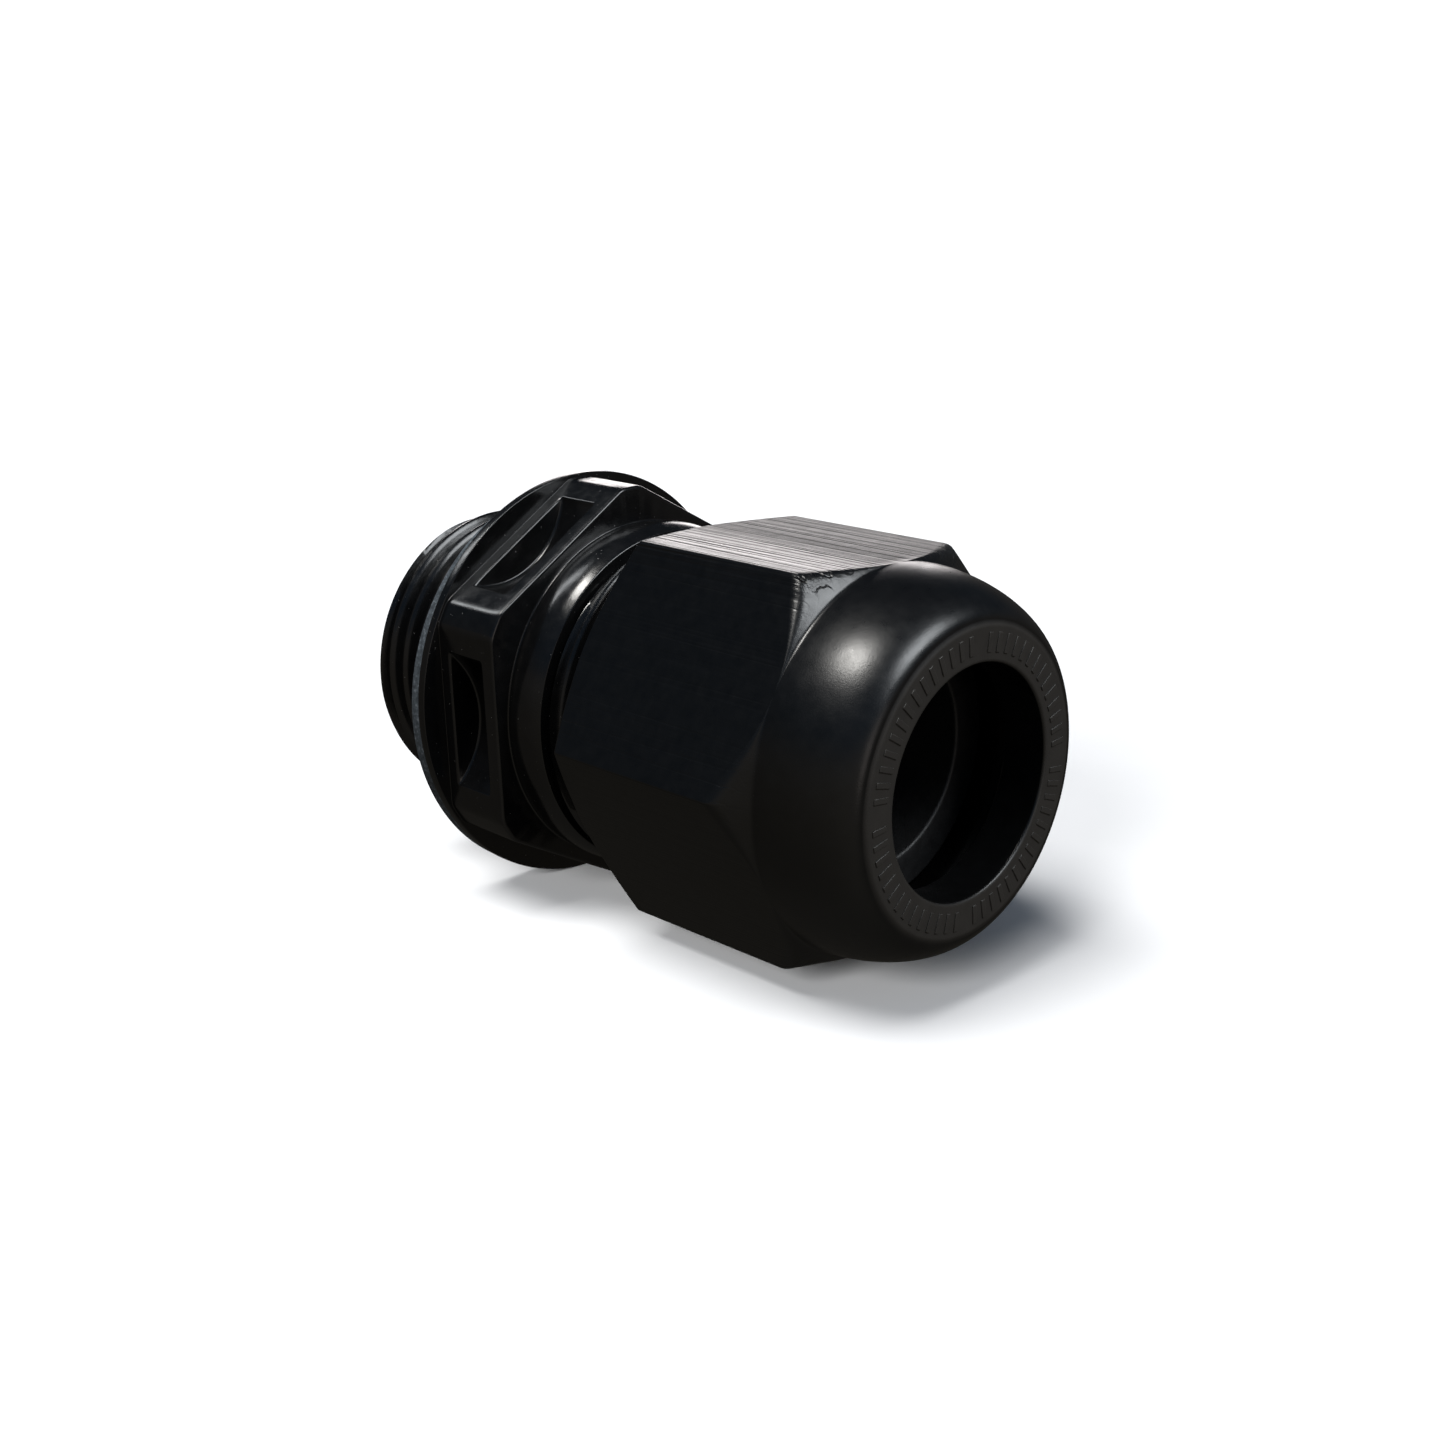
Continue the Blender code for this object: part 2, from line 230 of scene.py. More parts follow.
# Camera, in front of the gland on its -Y side and looking slightly down; lens and sensor in millimetres
LENS = 45.95
SENSOR = 36.0
CLIP_NEAR = 0.005
CLIP_FAR = 50.0
CAMERA_PLACE = (0.079704, -0.079712, 0.045657)
CAMERA_RIGHT = (0.711315, 0.70270, 0.01596)
CAMERA_BACK = (0.671226, -0.68586, 0.28118)

# Softboxes for the gland: name, azimuth and elevation in degrees, distance, width and height in
# metres, power in watts, colour. The window lights the gland body only.
SOFTBOXES = (
    ("key", -93, 68, 0.35, 0.085, 0.085, 0.85, (1.0, 0.98, 0.94)),
    ("side_window", 16, 47, 0.45, 0.26, 0.18, 1.5, (0.93, 0.97, 1.0)),
    ("back_strip", 138, 12, 0.5, 0.30, 0.16, 0.60, (1.0, 0.95, 0.945)),
    ("right_glow", -10, 5, 0.5, 0.2, 0.2, 0.10, (1.0, 0.9, 0.85)),
)
WINDOW = ("left_window", -161, 47, 0.5, 0.09, 0.28, 0.5, (0.95, 0.98, 1.0))
# Suns for the floor: name, azimuth, elevation and spread in degrees, strength
SUNS = (
    ("floor_sun", -100, 64, 32.0, 2.95),
    ("floor_front_sun", -74, 24, 22.0, 2.6),
    ("floor_sky", 0, 88, 150.0, 0.25),
)
BACKDROP_STRENGTH = 1.1
# The room by height, from straight down at 0 to straight up at 1
ROOM_COLOURS = (
    (0.0, (0.10, 0.095, 0.085)),
    (0.37, (0.12, 0.108, 0.09)),
    (0.58, (0.15, 0.14, 0.13)),
    (0.68, (0.03, 0.06, 0.10)),
    (1.0, (0.025, 0.05, 0.09)),
)
# How the room dims along X and Y: its share at the low and at the high end, and where the ends are
ROOM_FORWARD = (0.25, 1.0, -1.0, 0.6)
ROOM_SIDEWAYS = (1.6, 0.6, -0.3, 0.5)
FLOOR_HALF = 6.0


# ---- turned meshes ----

def along(depth):
    """The x of a place at this depth behind the nut's front face."""
    return FRONT_X - depth


def point(x, radius, angle):
    """A place at this radius from the axis, at this angle from +Y towards +Z."""
    return Vector((x, AXIS_Y + radius * math.cos(angle), AXIS_Z + radius * math.sin(angle)))


def rounded(corners):
    """Outline through (x, radius, fillet) corners. A fillet never takes up more than its sides have."""
    outline = []
    for place, (x, radius, fillet) in enumerate(corners):
        here = Vector((x, radius))
        if fillet == 0 or place in (0, len(corners) - 1):
            outline.append((x, radius))
            continue
        before = Vector(corners[place - 1][:2]) - here
        after = Vector(corners[place + 1][:2]) - here
        cut = min(fillet, FILLET_SHARE * before.length, FILLET_SHARE * after.length)
        start = here + before.normalized() * cut if before.length else here
        end = here + after.normalized() * cut if after.length else here
        for step in range(FILLET_STEPS + 1):
            share = step / FILLET_STEPS
            spot = start.lerp(here, share).lerp(here.lerp(end, share), share)
            outline.append((spot.x, spot.y))
    return outline


def numbered(name, outline):
    """Gives each place of the outline a key, so that neighbouring columns can be joined."""
    return [((name, place), x, radius) for place, (x, radius) in enumerate(outline)]


def thread_height(share):
    """Height of the thread across one pitch, 1 on the crest and 0 in the root, with rounded corners."""
    away = abs((share - CREST_CENTRE + 0.5) % 1.0 - 0.5)
    fall = min(max((away - CREST_HALF_WIDTH) / FLANK_WIDTH, 0.0), 1.0)
    smooth = fall * fall * (3 - 2 * fall)
    return 1.0 - (FLANK_STRAIGHT * fall + (1.0 - FLANK_STRAIGHT) * smooth)


def thread_lines(name, angle, low, high, phase, root, crest, limit):
    """Thread outline from low to high at this angle. Its lines climb one pitch in one turn."""
    start = phase + PITCH * angle / FULL_TURN

    def row(key, x):
        height = thread_height((x - start) / PITCH)
        return (name, *key), x, limit(x, root + (crest - root) * height)

    rows = [row(("low",), low)]
    first = math.floor((low - start) / PITCH)
    last = math.ceil((high - start) / PITCH)
    for number in range(first * THREAD_SAMPLES, last * THREAD_SAMPLES + 1):
        x = start + number * PITCH / THREAD_SAMPLES
        if low + THREAD_END_GAP < x < high - THREAD_END_GAP:
            rows.append(row((number,), x))
    rows.append(row(("high",), high))
    return rows


def stretch(column, start, end):
    """The column's vertices from one place to the next, round the end of the list if need be."""
    if end <= start:
        end += len(column)
    return [column[place % len(column)][1] for place in range(start, end + 1)]


def bridge(bm, left, right):
    """Faces between two neighbouring columns, which share most of their keys."""
    right_place = {key: place for place, (key, _) in enumerate(right)}
    shared = [place for place, (key, _) in enumerate(left) if key in right_place]
    for index, start in enumerate(shared):
        end = shared[(index + 1) % len(shared)]
        near = stretch(left, start, end)
        far = stretch(right, right_place[left[start][0]], right_place[left[end][0]])
        bm.faces.new(near + far[::-1])


def mesh_object(name, bm, mat):
    """A smooth-shaded object from bm, with its sharp edges kept and its flat faces flat."""
    bmesh.ops.remove_doubles(bm, verts=bm.verts[:], dist=WELD)
    bmesh.ops.dissolve_degenerate(bm, edges=bm.edges[:], dist=WELD)
    bmesh.ops.recalc_face_normals(bm, faces=bm.faces[:])
    mesh = bpy.data.meshes.new(name)
    bm.to_mesh(mesh)
    bm.free()
    mesh.shade_smooth()
    mesh.set_sharp_from_angle(angle=SHARP_ANGLE)
    mesh.materials.append(mat)
    obj = bpy.data.objects.new(name, mesh)
    bpy.context.scene.collection.objects.link(obj)
    weighted = obj.modifiers.new("flat faces stay flat", "WEIGHTED_NORMAL")
    weighted.keep_sharp = True
    weighted.weight = FLAT_WEIGHT
    return obj


def turned(name, angles, outline, mat):
    """A ring-shaped solid: outline(angle) gives (key, x, radius) round the section at that angle."""
    bm = bmesh.new()
    columns = []
    for angle in angles:
        column = [(key, bm.verts.new(point(x, radius, angle))) for key, x, radius in outline(angle)]
        columns.append(column)
    last = outline(angles[0] + FULL_TURN)
    columns.append([(key, vert) for (key, *_), (_, vert) in zip(last, columns[0])])
    for left, right in zip(columns, columns[1:]):
        bridge(bm, left, right)
    return mesh_object(name, bm, mat)


def even_angles(count):
    return [FULL_TURN * step / count for step in range(count)]


def side_angles(first_flat, features, fine):
    """Angles round a hexagon, every COARSE_STEP degrees and closer together at each side's features."""
    coarse_count = int(2 * HALF_SIDE / COARSE_STEP)
    offsets = {round(-HALF_SIDE + COARSE_STEP * step, 3) for step in range(coarse_count)}
    for feature in features:
        offsets.update(round(feature + shift, 3) for shift in fine)
    offsets = sorted(o for o in offsets if -HALF_SIDE <= o < HALF_SIDE)
    return [first_flat + SIXTH * side + math.radians(o) for side in range(6) for o in offsets]


def from_flat(angle, first_flat):
    """The angle measured from the middle of the nearest flat."""
    return (angle - first_flat + SIXTH / 2) % SIXTH - SIXTH / 2


def soft_min(a, b, reach):
    """The smaller of a and b, with a rounded change-over where they are within reach of each other."""
    gap = a - b
    if abs(gap) >= reach:
        return min(a, b)
    return min(a, b) - (reach - abs(gap)) ** 2 / (4 * reach)


# ---- gland body ----

def spigot_limit(x, radius):
    """Cuts the spigot's thread back to a chamfered end, and runs it out at the neck."""
    root = SPIGOT_CREST_R - THREAD_DEPTH
    chamfer = SPIGOT_END_R + (x - along(OVERALL))
    run_out = NECK_R + (along(GASKET_REAR) - x)
    return max(min(radius, chamfer, run_out), root - THREAD_RELIEF)


def cap_limit(x, radius):
    """Cuts the cap thread back to a groove at the collar and a chamfer at its front."""
    root = CAP_CREST_R - THREAD_DEPTH
    groove = root + CAP_GROOVE_SLOPE * (x - along(COLLAR_FRONT))
    chamfer = root + (along(CAP_THREAD_FRONT) - x)
    return max(min(radius, groove, chamfer), root - THREAD_RELIEF)


def pocket_depth(offset, flat):
    """Depth of the round scoop below the flat, fading in over a small edge radius."""
    reach = SCOOP_R ** 2 - (SCOOP_CENTRE * math.sin(offset)) ** 2
    if reach <= 0:
        return 0.0
    depth = flat - (SCOOP_CENTRE * math.cos(offset) - math.sqrt(reach))
    if depth <= -SCOOP_EDGE:
        return 0.0
    if depth < SCOOP_EDGE:
        return (depth + SCOOP_EDGE) ** 2 / (4 * SCOOP_EDGE)
    return depth


def body_outline(angle):
    """The body's section at this angle: spigot, flange, hexagon, collar, cap thread, crown and bore."""
    offset = from_flat(angle, BODY_FLAT_ANGLE)
    uncut = BODY_FLAT_R / math.cos(offset)
    flat = soft_min(uncut, BODY_CORNER_R, BODY_CORNER_SOFT)
    floor = flat - pocket_depth(offset, uncut)
    spigot_root = SPIGOT_CREST_R - THREAD_DEPTH
    cap_root = CAP_CREST_R - THREAD_DEPTH
    cap_start = along(COLLAR_FRONT - COLLAR_LIP)
    rear = rounded([
        (along(SEAT_REAR), BORE_R, 0),
        (along(OVERALL), BORE_R, SOFT_EDGE),
        (along(OVERALL), spigot_root - THREAD_RELIEF, 0),
    ])[:-1]
    spigot = thread_lines("spigot", angle, along(OVERALL), along(GASKET_REAR + SPIGOT_START), SPIGOT_PHASE,
                          spigot_root, SPIGOT_CREST_R, spigot_limit)
    collar = [(along(HEX_FRONT - forward), radius, fillet) for forward, radius, fillet in COLLAR_PROFILE]
    middle = rounded([
        (along(GASKET_REAR), NECK_R, 0),
        (along(FLANGE_REAR), NECK_R, HAIR_EDGE),
        (along(FLANGE_REAR), FLANGE_R, FLANGE_EDGE),
        (along(FLANGE_FRONT), FLANGE_R, FLANGE_EDGE),
        (along(FLANGE_FRONT), flat, HAIR_EDGE),
        (along(POCKET_REAR), flat, POCKET_RIM),
        (along(POCKET_REAR - POCKET_SLANT), floor, POCKET_FOOT),
        (along(POCKET_FRONT + POCKET_SLANT), floor, POCKET_FOOT),
        (along(POCKET_FRONT), flat, POCKET_RIM),
        (along(HEX_FRONT), flat, HEX_EDGE),
    ] + collar + [
        (along(COLLAR_FRONT), COLLAR_EDGE_R, FLANGE_EDGE),
        (cap_start, cap_root, 0),
    ])[:-1]
    cap = thread_lines("cap", angle, cap_start, along(CAP_THREAD_FRONT), CAP_PHASE,
                       cap_root, CAP_CREST_R, cap_limit)
    crown = rounded([
        (along(CROWN_FRONT + CROWN_LENGTH), CROWN_R, 0),
        (along(CROWN_FRONT), CROWN_R, EDGE),
        (along(CROWN_FRONT), SEAT_R, EDGE),
        (along(SEAT_REAR), SEAT_R, SEAT_FILLET),
        (along(SEAT_REAR), BORE_R, EDGE),
        (along(OVERALL), BORE_R, 0),
    ])[:-1]
    return numbered("rear", rear[1:]) + spigot + numbered("middle", middle) + cap + numbered("crown", crown)


def make_gland_body(mat):
    corner = math.degrees(math.acos(BODY_FLAT_R / BODY_CORNER_R))
    pocket_half = math.sqrt(SCOOP_R ** 2 - (SCOOP_CENTRE - BODY_FLAT_R) ** 2)
    pocket = math.degrees(math.atan(pocket_half / BODY_FLAT_R))
    angles = side_angles(BODY_FLAT_ANGLE, (-corner, -pocket, pocket, corner), BODY_FINE_STEPS)
    body = turned("moulded_gland_body", angles, body_outline, mat)
    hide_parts("gland_body")
    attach(body, "body")


# ---- dome nut ----

def nut_limit(x, radius):
    """Opens the nut's thread to a chamfered mouth, and fades it into the cavity."""
    mouth = NUT_MOUTH_R - (x - along(NUT_LENGTH))
    fade = NUT_CAVITY_R + THREAD_GAP / 2 + (along(NUT_THREAD_FRONT) - x)
    return min(max(radius, mouth), fade)


def dome_radius(depth):
    """The dome's outline, from the front rim to the flats' distance from the axis."""
    share = (DOME_LENGTH - depth) / (DOME_LENGTH - NUT_RIM)
    rise = (1.0 - share ** DOME_FULLNESS) ** (1.0 / DOME_FULLNESS)
    return NUT_RIM_R + (NUT_FLAT_R - NUT_RIM_R) * rise


def dome_depth(share):
    """Depths that lie closer together near the rim, where the dome curves most."""
    return NUT_RIM + (DOME_LENGTH - NUT_RIM) * (1.0 - math.cos(math.pi / 2 * share))


def nut_outline(angle):
    """The nut's section at this angle: front ring, dome, hexagon, thread, cone and bore."""
    offset = from_flat(angle, NUT_FLAT_ANGLE)
    here = NUT_FLAT_R / math.cos(offset)
    beyond_corner = NUT_FLAT_R / math.cos(SIXTH - abs(offset))
    flat = soft_min(here, beyond_corner, NUT_CORNER_SOFT)
    rise = flat - NUT_FLAT_R
    dome_depths = [dome_depth(step / DOME_STEPS) for step in range(1, DOME_STEPS)]
    dome = [(along(depth), dome_radius(depth), 0) for depth in dome_depths]
    outside = rounded([
        (along(NUT_LAND), NUT_BORE_R, 0),
        (along(BAR_HEIGHT), NUT_BORE_R, NUT_BORE_FILLET),
        (along(BAR_HEIGHT), NUT_FACE_R, FINE_EDGE),
        (along(NUT_RIM), NUT_RIM_R, FINE_EDGE),
    ] + dome + [
        (along(DOME_LENGTH), NUT_FLAT_R, DOME_FILLET),
        (along(DOME_LENGTH + rise / SHOULDER_SLOPE), flat, SHOULDER_FILLET),
        (along(NUT_LENGTH - rise / REAR_SLOPE), flat, REAR_FILLET),
        (along(NUT_LENGTH), NUT_FLAT_R - REAR_STEP, FINE_EDGE),
        (along(NUT_LENGTH), NUT_MOUTH_R, 0),
    ])[1:-1]
    thread = thread_lines("nut", angle, along(NUT_LENGTH), along(NUT_THREAD_FRONT), CAP_PHASE,
                          CAP_CREST_R - THREAD_DEPTH + THREAD_GAP, CAP_CREST_R + THREAD_GAP, nut_limit)
    inside = rounded([
        (along(NUT_THREAD_FRONT), NUT_CAVITY_R, 0),
        (along(NUT_CONE_REAR), NUT_CAVITY_R, CONE_REAR_FILLET),
        (along(NUT_CONE_FRONT), NUT_UNDERCUT_R, CONE_FRONT_FILLET),
        (along(NUT_LAND), NUT_UNDERCUT_R, SOFT_EDGE),
        (along(NUT_LAND), NUT_BORE_R, EDGE),
        (along(BAR_HEIGHT), NUT_BORE_R, 0),
    ])[1:-1]
    return numbered("outside", outside) + thread + numbered("inside", inside)


def make_dome_nut(mat):
    angles = side_angles(NUT_FLAT_ANGLE, (-HALF_SIDE, HALF_SIDE), NUT_FINE_STEPS)
    nut = turned("moulded_dome_nut", angles, nut_outline, mat)
    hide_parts("dome_nut")
    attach(nut, "nut")


def make_front_bars(mat):
    """Plain raised bars on the front ring, where a real nut has its maker's markings."""
    bm = bmesh.new()
    middle_r = (BAR_INNER_R + BAR_OUTER_R) / 2
    size = Matrix.Diagonal((2 * BAR_HEIGHT, BAR_OUTER_R - BAR_INNER_R, BAR_WIDTH, 1.0))
    for number in range(BAR_COUNT):
        if number % BAR_GROUP:
            angle = FULL_TURN * number / BAR_COUNT
            place = Matrix.Translation(point(along(BAR_HEIGHT), middle_r, angle))
            bmesh.ops.create_cube(bm, size=1.0, matrix=place @ Matrix.Rotation(angle, 4, "X") @ size)
    bars = mesh_object("front_bars", bm, mat)
    soften = bars.modifiers.new("soft edges", "BEVEL")
    soften.width = BAR_BEVEL
    soften.segments = 2
    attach(bars, "nut")


# ---- gasket, seal, fingers ----

def make_gasket(mat):
    front = GASKET_HIGH.x
    rear = GASKET_LOW.x
    outline = numbered("gasket", rounded([
        (rear, (GASKET_BORE_R + GASKET_R) / 2, 0),
        (rear, GASKET_R, FINE_EDGE),
        (front, GASKET_R, FINE_EDGE),
        (front, GASKET_BORE_R, FINE_EDGE),
        (rear, GASKET_BORE_R, FINE_EDGE),
        (rear, (GASKET_BORE_R + GASKET_R) / 2, 0),
    ])[:-1])
    gasket = turned("pressed_gasket", even_angles(180), lambda angle: outline, mat)
    gasket.data.transform(Matrix.Translation((0.0, 0.0, -GASKET_DROP)))
    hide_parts("flange_gasket")
    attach(gasket, "body")


def make_seal(mat):
    front = SEAL_HIGH.x
    rear = SEAL_LOW.x
    outline = numbered("seal", rounded([
        (front, (SEAL_BORE_R + SEAL_COLLAR_R) / 2, 0),
        (front, SEAL_COLLAR_R, SOFT_EDGE),
        (front - SEAL_COLLAR, SEAL_COLLAR_R, SEAL_STEP_FILLET),
        (front - SEAL_COLLAR, SEAL_NOSE_R, SEAL_STEP_FILLET),
        (along(FINGER_ROOT), SEAL_TAIL_R, SEAL_TAIL_FILLET),
        (rear, SEAL_TAIL_R, SOFT_EDGE),
        (rear, SEAL_BORE_R + SEAL_LEAD_RISE, FINE_EDGE),
        (rear + SEAL_LEAD, SEAL_BORE_R, SEAL_TAIL_FILLET),
        (front, SEAL_BORE_R, SEAL_BORE_FILLET),
        (front, (SEAL_BORE_R + SEAL_COLLAR_R) / 2, 0),
    ])[:-1])
    seal = turned("rubber_seal", even_angles(144), lambda angle: outline, mat)
    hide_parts("seal")
    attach(seal, "seal")


def finger_mesh():
    """One finger with the middle of its root at the origin, pointing along +X, its outside towards +Z."""
    bm = bmesh.new()
    sections = []
    corners = [(x, y, FINGER_FILLET) for x, y in FINGER_SECTION]
    outline = rounded([(0.0, 0.0, 0)] + corners + [(0.0, 0.0, 0)])[1:-1]
    for step in range(FINGER_STEPS + 1):
        angle = FINGER_HALF_SPAN * (2 * step / FINGER_STEPS - 1)
        section = []
        for forward, outward in outline:
            radius = FINGER_MID_R + outward * MM
            height = radius * math.cos(angle) - FINGER_MID_R
            section.append(bm.verts.new((forward * MM, radius * math.sin(angle), height)))
        sections.append(section)
    for left, right in zip(sections, sections[1:]):
        for place in range(len(left)):
            following = (place + 1) % len(left)
            bm.faces.new((left[place], left[following], right[following], right[place]))
    bm.faces.new(sections[0][::-1])
    bm.faces.new(sections[-1])
    return bm


def make_fingers(mat):
    for number in range(FINGER_COUNT):
        angle = FULL_TURN * number / FINGER_COUNT
        finger = mesh_object(f"moulded_finger_{number + 1:02d}", finger_mesh(), mat)
        place = Matrix.Translation(point(along(FINGER_ROOT), FINGER_MID_R, angle))
        around = Matrix.Rotation(angle - math.pi / 2, 4, "X")
        inward = Matrix.Rotation(FINGER_TILT, 4, "Y")
        finger.data.transform(place @ around @ inward)
        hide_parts(f"clamping_finger_{number + 1:02d}")
        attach(finger, f"finger_{number + 1:02d}")


# ---- materials ----

# A Mix node's places for its two inputs and its output, by data type
MIX_PLACES = {"FLOAT": (2, 3, 0), "RGBA": (6, 7, 2)}


class Nodes:
    """A small helper that adds and links nodes in one tree."""

    def __init__(self, tree, place):
        self.tree = tree
        self.place = self.add("ShaderNodeTexCoord").outputs[place]

    def add(self, kind, **settings):
        node = self.tree.nodes.new(kind)
        for key, value in settings.items():
            setattr(node, key, value)
        return node

    def link(self, source, target):
        self.tree.links.new(source, target)

    def coordinate(self, axis):
        node = self.add("ShaderNodeSeparateXYZ")
        self.link(self.place, node.inputs["Vector"])
        return node.outputs[axis]

    def mapped(self, scale):
        node = self.add("ShaderNodeMapping")
        node.inputs["Scale"].default_value = scale
        self.link(self.place, node.inputs["Vector"])
        return node.outputs["Vector"]

    def noise(self, scale, detail=4.0, roughness=0.55, vector=None):
        node = self.add("ShaderNodeTexNoise")
        node.inputs["Scale"].default_value = scale
        node.inputs["Detail"].default_value = detail
        node.inputs["Roughness"].default_value = roughness
        self.link(vector or self.place, node.inputs["Vector"])
        return node.outputs["Fac"]

    def ramp(self, factor, stops):
        node = self.add("ShaderNodeValToRGB")
        elements = node.color_ramp.elements
        while len(elements) < len(stops):
            elements.new(0.5)
        for element, (position, colour) in zip(elements, stops):
            element.position = position
            element.color = (*colour, 1.0)
        self.link(factor, node.inputs["Fac"])
        return node.outputs["Color"]

    def spread(self, factor, low, high, start=0.0, end=1.0):
        """Takes factor from the range start to end over to the range low to high, and clamps it."""
        node = self.add("ShaderNodeMapRange")
        node.inputs["From Min"].default_value = start
        node.inputs["From Max"].default_value = end
        node.inputs["To Min"].default_value = low
        node.inputs["To Max"].default_value = high
        self.link(factor, node.inputs["Value"])
        return node.outputs["Result"]

    def maths(self, operation, a, b):
        node = self.add("ShaderNodeMath", operation=operation)
        for socket, value in zip(node.inputs, (a, b)):
            if isinstance(value, (int, float)):
                socket.default_value = value
            else:
                self.link(value, socket)
        return node.outputs["Value"]

    def product(self, first, *others):
        for other in others:
            first = self.maths("MULTIPLY", first, other)
        return first

    def bump(self, height, strength, distance, normal=None):
        node = self.add("ShaderNodeBump")
        node.inputs["Strength"].default_value = strength
        node.inputs["Distance"].default_value = distance
        self.link(height, node.inputs["Height"])
        if normal:
            self.link(normal, node.inputs["Normal"])
        return node.outputs["Normal"]


class Surface(Nodes):
    """A material with one Principled shader."""

    def __init__(self, name):
        self.material = bpy.data.materials.new(name)
        self.material.use_nodes = True
        super().__init__(self.material.node_tree, "Object")
        self.shader = self.tree.nodes["Principled BSDF"]

    def feed(self, socket, source):
        self.link(source, self.shader.inputs[socket])

    def blend(self, socket, data_type, factor, value):
        """Mixes a fixed value into what already feeds this socket of the shader."""
        first, second, result = MIX_PLACES[data_type]
        mix = self.add("ShaderNodeMix", data_type=data_type)
        self.link(factor, mix.inputs["Factor"])
        self.link(self.shader.inputs[socket].links[0].from_socket, mix.inputs[first])
        mix.inputs[second].default_value = value
        self.feed(socket, mix.outputs[result])


def grey(value, tint=1.0):
    return (value, value, value * tint)


def nylon(name, base, rough_low, rough_high, grain, dusty):
    """Moulded black nylon or rubber: fine grain, faint mottling and dust specks."""
    n = Surface(name)
    mottle = n.noise(scale=900, detail=5.0)
    dark = grey(base * 0.8, BLUE_TINT)
    light = grey(base * 1.3, BLUE_TINT)
    n.feed("Base Color", n.ramp(mottle, [(0.3, dark), (0.7, light)]))
    dust = n.ramp(n.noise(scale=5200, detail=2.0), [(0.735, BLACK), (0.76, WHITE)])
    n.blend("Base Color", "RGBA", n.product(dust, dusty), DUST_COLOUR)
    n.feed("Roughness", n.spread(n.noise(scale=1400), rough_low, rough_high, 0.3, 0.7))
    fine = n.bump(n.noise(scale=9000, detail=3.0), strength=grain, distance=0.02 * MM)
    wavy = n.noise(scale=450, detail=3.0)
    n.normal = n.bump(wavy, strength=0.12, distance=0.05 * MM, normal=fine)
    n.feed("Normal", n.normal)
    return n


def draw_lines(n):
    """Fine tool lines along the nut's flats, strong on the top flat, which is duller towards +Y."""
    waves = n.noise(scale=1.0, detail=2.0, roughness=0.5, vector=n.mapped(GROOVE_SCALE))
    groove = n.ramp(waves, [(0.43, WHITE), (0.475, BLACK), (0.52, WHITE)])
    scratches = n.noise(scale=1.0, detail=4.0, roughness=0.65, vector=n.mapped(SCRATCH_SCALE))
    flats = n.spread(n.coordinate("X"), 1.0, 0.0, along(DOME_LENGTH + LINES_FADE), along(DOME_LENGTH))
    top = n.spread(n.coordinate("Z"), LINES_ELSEWHERE, 1.0, LINES_LOW_Z, LINES_HIGH_Z)
    lines = n.product(scratches, groove, flats, top)
    n.feed("Normal", n.bump(lines, strength=1.0, distance=LINE_DEPTH, normal=n.normal))
    across = n.spread(n.coordinate("Y"), 0.0, DULLING, DULL_FROM_Y, DULL_TO_Y)
    shine = n.shader.inputs["Roughness"].links[0].from_socket
    n.feed("Roughness", n.maths("ADD", shine, n.product(across, flats, top)))


def frost_ring_and_paint_reflection(n):
    """The flat front ring is duller than the dome round it, which is its real frosting. It is also a little
    browner, which is a painted reflection of a brown surface below it.
    """
    ring = n.spread(n.coordinate("X"), 0.0, 1.0, along(RING_REAR), along(RING_FRONT))
    painted_reflection_share = n.product(ring, n.spread(n.noise(scale=700, detail=5.0), 0.7, 1.3))
    # Painted reflection: a brown tint, which stands in for a brown surface reflected in the ring, is mixed
    # into its colour
    n.blend("Base Color", "RGBA", painted_reflection_share, RING_PAINTED_REFLECTION)
    n.blend("Roughness", "FLOAT", ring, RING_ROUGHNESS)


def gasket_sheet():
    """Speckled grey fibre sheet."""
    n = Surface("gasket_sheet")
    fleck = n.noise(scale=4200, detail=6.0, roughness=0.7)
    n.feed("Base Color", n.ramp(fleck, GASKET_COLOURS))
    n.feed("Roughness", n.spread(fleck, 0.6, 0.9))
    n.feed("Normal", n.bump(fleck, strength=0.5, distance=0.04 * MM))
    return n


def main_materials():
    body = nylon(*BODY_NYLON)
    nut = nylon(*NUT_NYLON)
    draw_lines(nut)
    frost_ring_and_paint_reflection(nut)
    finger = nylon(*FINGER_NYLON)
    seal = nylon(*SEAL_RUBBER)
    return [n.material for n in (body, nut, finger, seal, gasket_sheet())]


# ---- studio ----

def make_camera():
    data = bpy.data.cameras.new("camera")
    data.sensor_width = SENSOR
    data.lens = LENS
    data.clip_start = CLIP_NEAR
    data.clip_end = CLIP_FAR
    camera = bpy.data.objects.new("camera", data)
    bpy.context.scene.collection.objects.link(camera)
    back = Vector(CAMERA_BACK).normalized()
    up = back.cross(Vector(CAMERA_RIGHT).normalized()).normalized()
    turn = Matrix((up.cross(back), up, back)).transposed().to_4x4()
    camera.matrix_world = Matrix.Translation(CAMERA_PLACE) @ turn
    bpy.context.scene.camera = camera


def towards(azimuth, elevation):
    """The direction from the gland to a place at this azimuth and elevation, in degrees."""
    a = math.radians(azimuth)
    e = math.radians(elevation)
    return Vector((math.cos(a) * math.cos(e), math.sin(a) * math.cos(e), math.sin(e)))


def softbox(name, azimuth, elevation, distance, width, height, power, colour):
    """An area light in the given direction from the gland, facing it."""
    data = bpy.data.lights.new(name, "AREA")
    data.shape = "RECTANGLE"
    data.size = width
    data.size_y = height
    data.energy = power
    data.color = colour
    light = bpy.data.objects.new(name, data)
    bpy.context.scene.collection.objects.link(light)
    direction = towards(azimuth, elevation)
    centre = Vector((0.0, AXIS_Y, AXIS_Z))
    light.location = centre + direction * distance
    light.rotation_euler = direction.to_track_quat("Z", "Y").to_euler()
    light.visible_camera = False
    return light


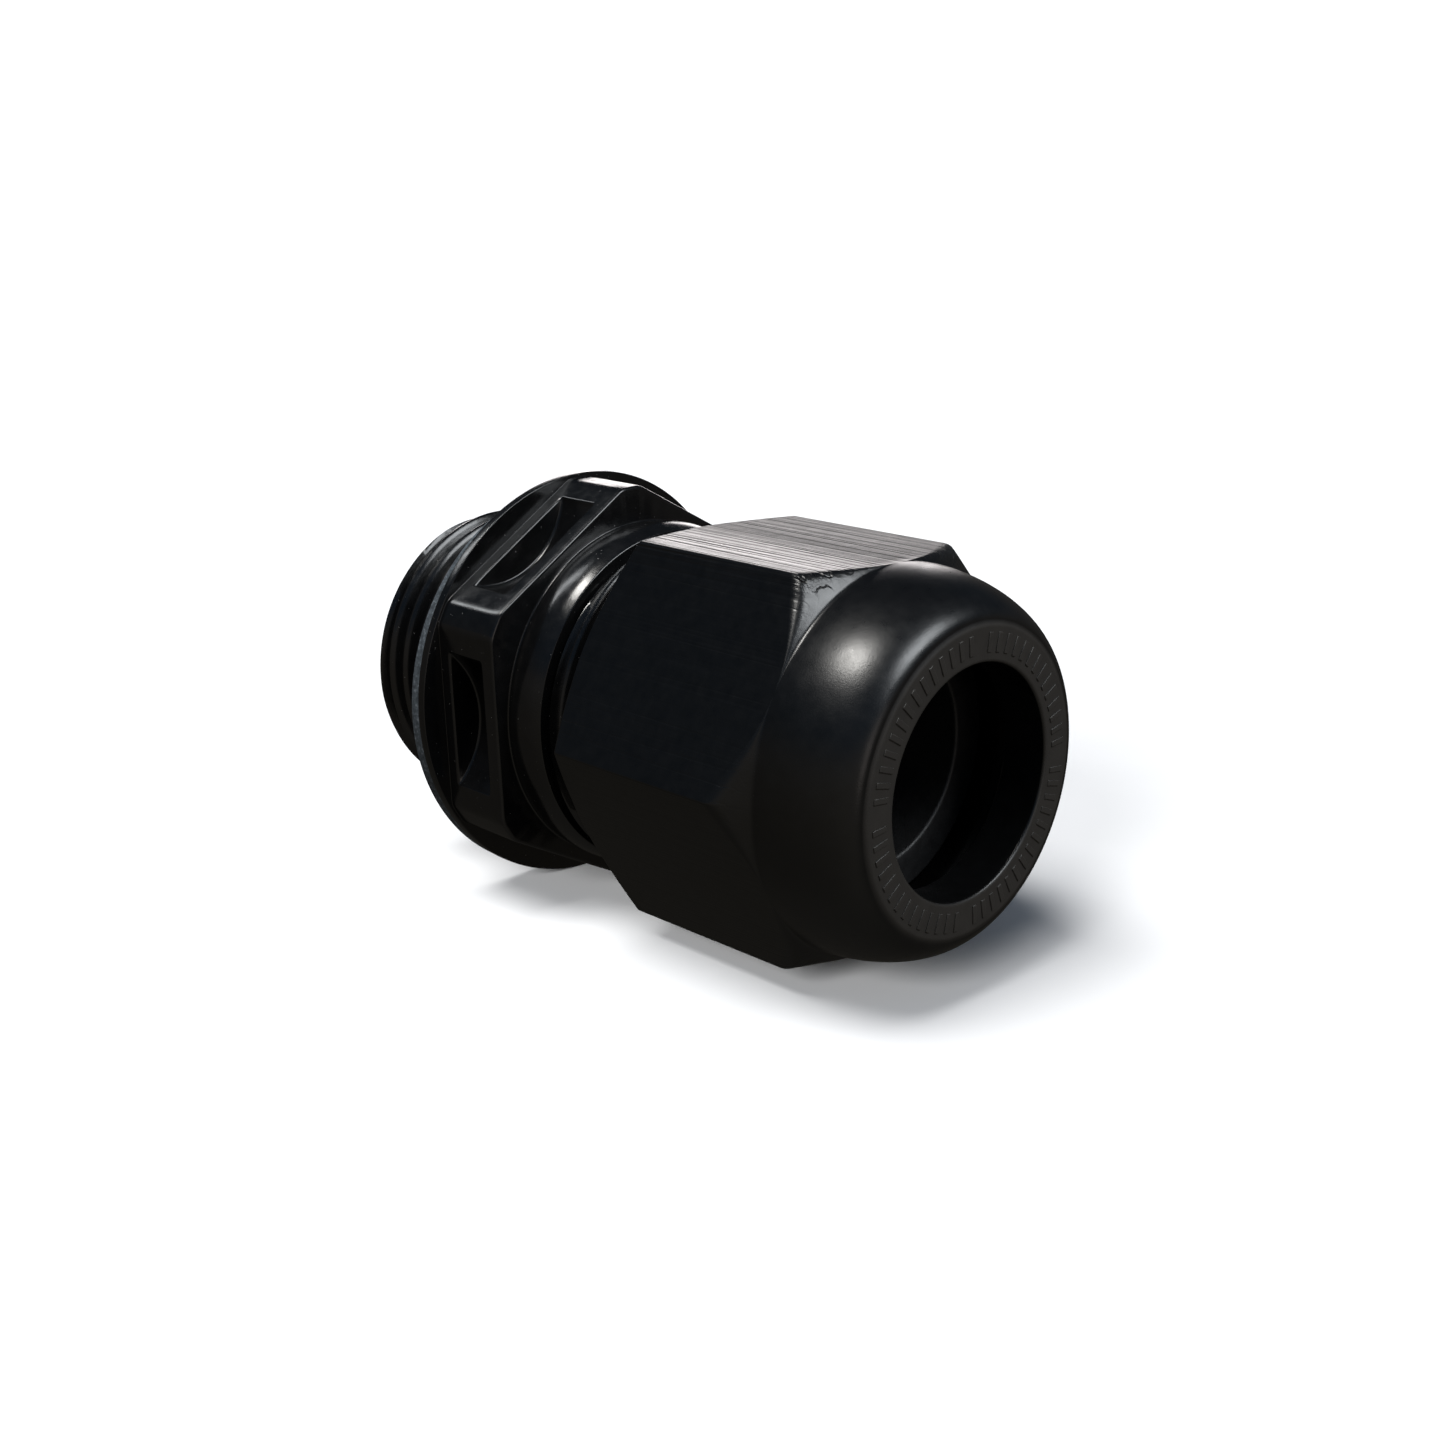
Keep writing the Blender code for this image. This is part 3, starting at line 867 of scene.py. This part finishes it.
def sun(name, azimuth, elevation, spread, strength):
    """Light from far away, with soft shadows where the spread is wide."""
    data = bpy.data.lights.new(name, "SUN")
    data.angle = math.radians(spread)
    data.energy = strength
    light = bpy.data.objects.new(name, data)
    bpy.context.scene.collection.objects.link(light)
    light.rotation_euler = towards(azimuth, elevation).to_track_quat("Z", "Y").to_euler()
    return light


def link_light(light, name, state="INCLUDE"):
    """Keeps a light for one object, or away from it. Other objects still cast shadows from it."""
    receivers = bpy.data.collections.new(f"{light.name}_receivers")
    receivers.objects.link(bpy.data.objects[name])
    receivers.collection_objects[0].light_linking.link_state = state
    light.light_linking.receiver_collection = receivers


def make_world():
    """A white backdrop, and a dim room for the object: bluish above, brownish below, darker behind."""
    world = bpy.data.worlds.new("studio")
    bpy.context.scene.world = world
    world.use_nodes = True
    n = Nodes(world.node_tree, "Generated")
    backdrop = n.tree.nodes["Background"]
    backdrop.inputs["Color"].default_value = (*WHITE, 1.0)
    backdrop.inputs["Strength"].default_value = BACKDROP_STRENGTH
    room = n.add("ShaderNodeBackground")
    height = n.spread(n.coordinate("Z"), 0.0, 1.0, -1.0, 1.0)
    n.link(n.ramp(height, ROOM_COLOURS), room.inputs["Color"])
    forward = n.spread(n.coordinate("X"), *ROOM_FORWARD)
    sideways = n.spread(n.coordinate("Y"), *ROOM_SIDEWAYS)
    n.link(n.product(forward, sideways), room.inputs["Strength"])
    mix = n.add("ShaderNodeMixShader")
    n.link(n.add("ShaderNodeLightPath").outputs["Is Camera Ray"], mix.inputs["Fac"])
    n.link(room.outputs["Background"], mix.inputs[1])
    n.link(backdrop.outputs["Background"], mix.inputs[2])
    n.link(mix.outputs["Shader"], n.tree.nodes["World Output"].inputs["Surface"])


def make_floor():
    """A matt white floor. It takes the gland's shadow, and lights nothing."""
    bm = bmesh.new()
    bmesh.ops.create_grid(bm, x_segments=1, y_segments=1, size=FLOOR_HALF)
    mesh = bpy.data.meshes.new("floor")
    bm.to_mesh(mesh)
    bm.free()
    floor = bpy.data.objects.new("floor", mesh)
    bpy.context.scene.collection.objects.link(floor)
    n = Surface("floor_paper")
    n.feed("Base Color", n.ramp(n.noise(scale=40, detail=3.0), [(0.3, grey(0.9)), (0.7, grey(0.93))]))
    n.shader.inputs["Roughness"].default_value = 0.9
    n.shader.inputs["Specular IOR Level"].default_value = 0.0
    mesh.materials.append(n.material)
    floor.visible_glossy = False
    floor.visible_diffuse = False


def make_studio():
    make_floor()
    make_world()
    for box in SOFTBOXES:
        link_light(softbox(*box), "floor", "EXCLUDE")
    link_light(softbox(*WINDOW), "moulded_gland_body")
    for light in SUNS:
        link_light(sun(*light), "floor")
    bpy.context.scene.view_settings.view_transform = "Standard"


def main():
    make_camera()
    body, nut, finger, seal, gasket = main_materials()
    make_gland_body(body)
    make_dome_nut(nut)
    make_front_bars(nut)
    make_fingers(finger)
    make_seal(seal)
    make_gasket(gasket)
    make_studio()


main()
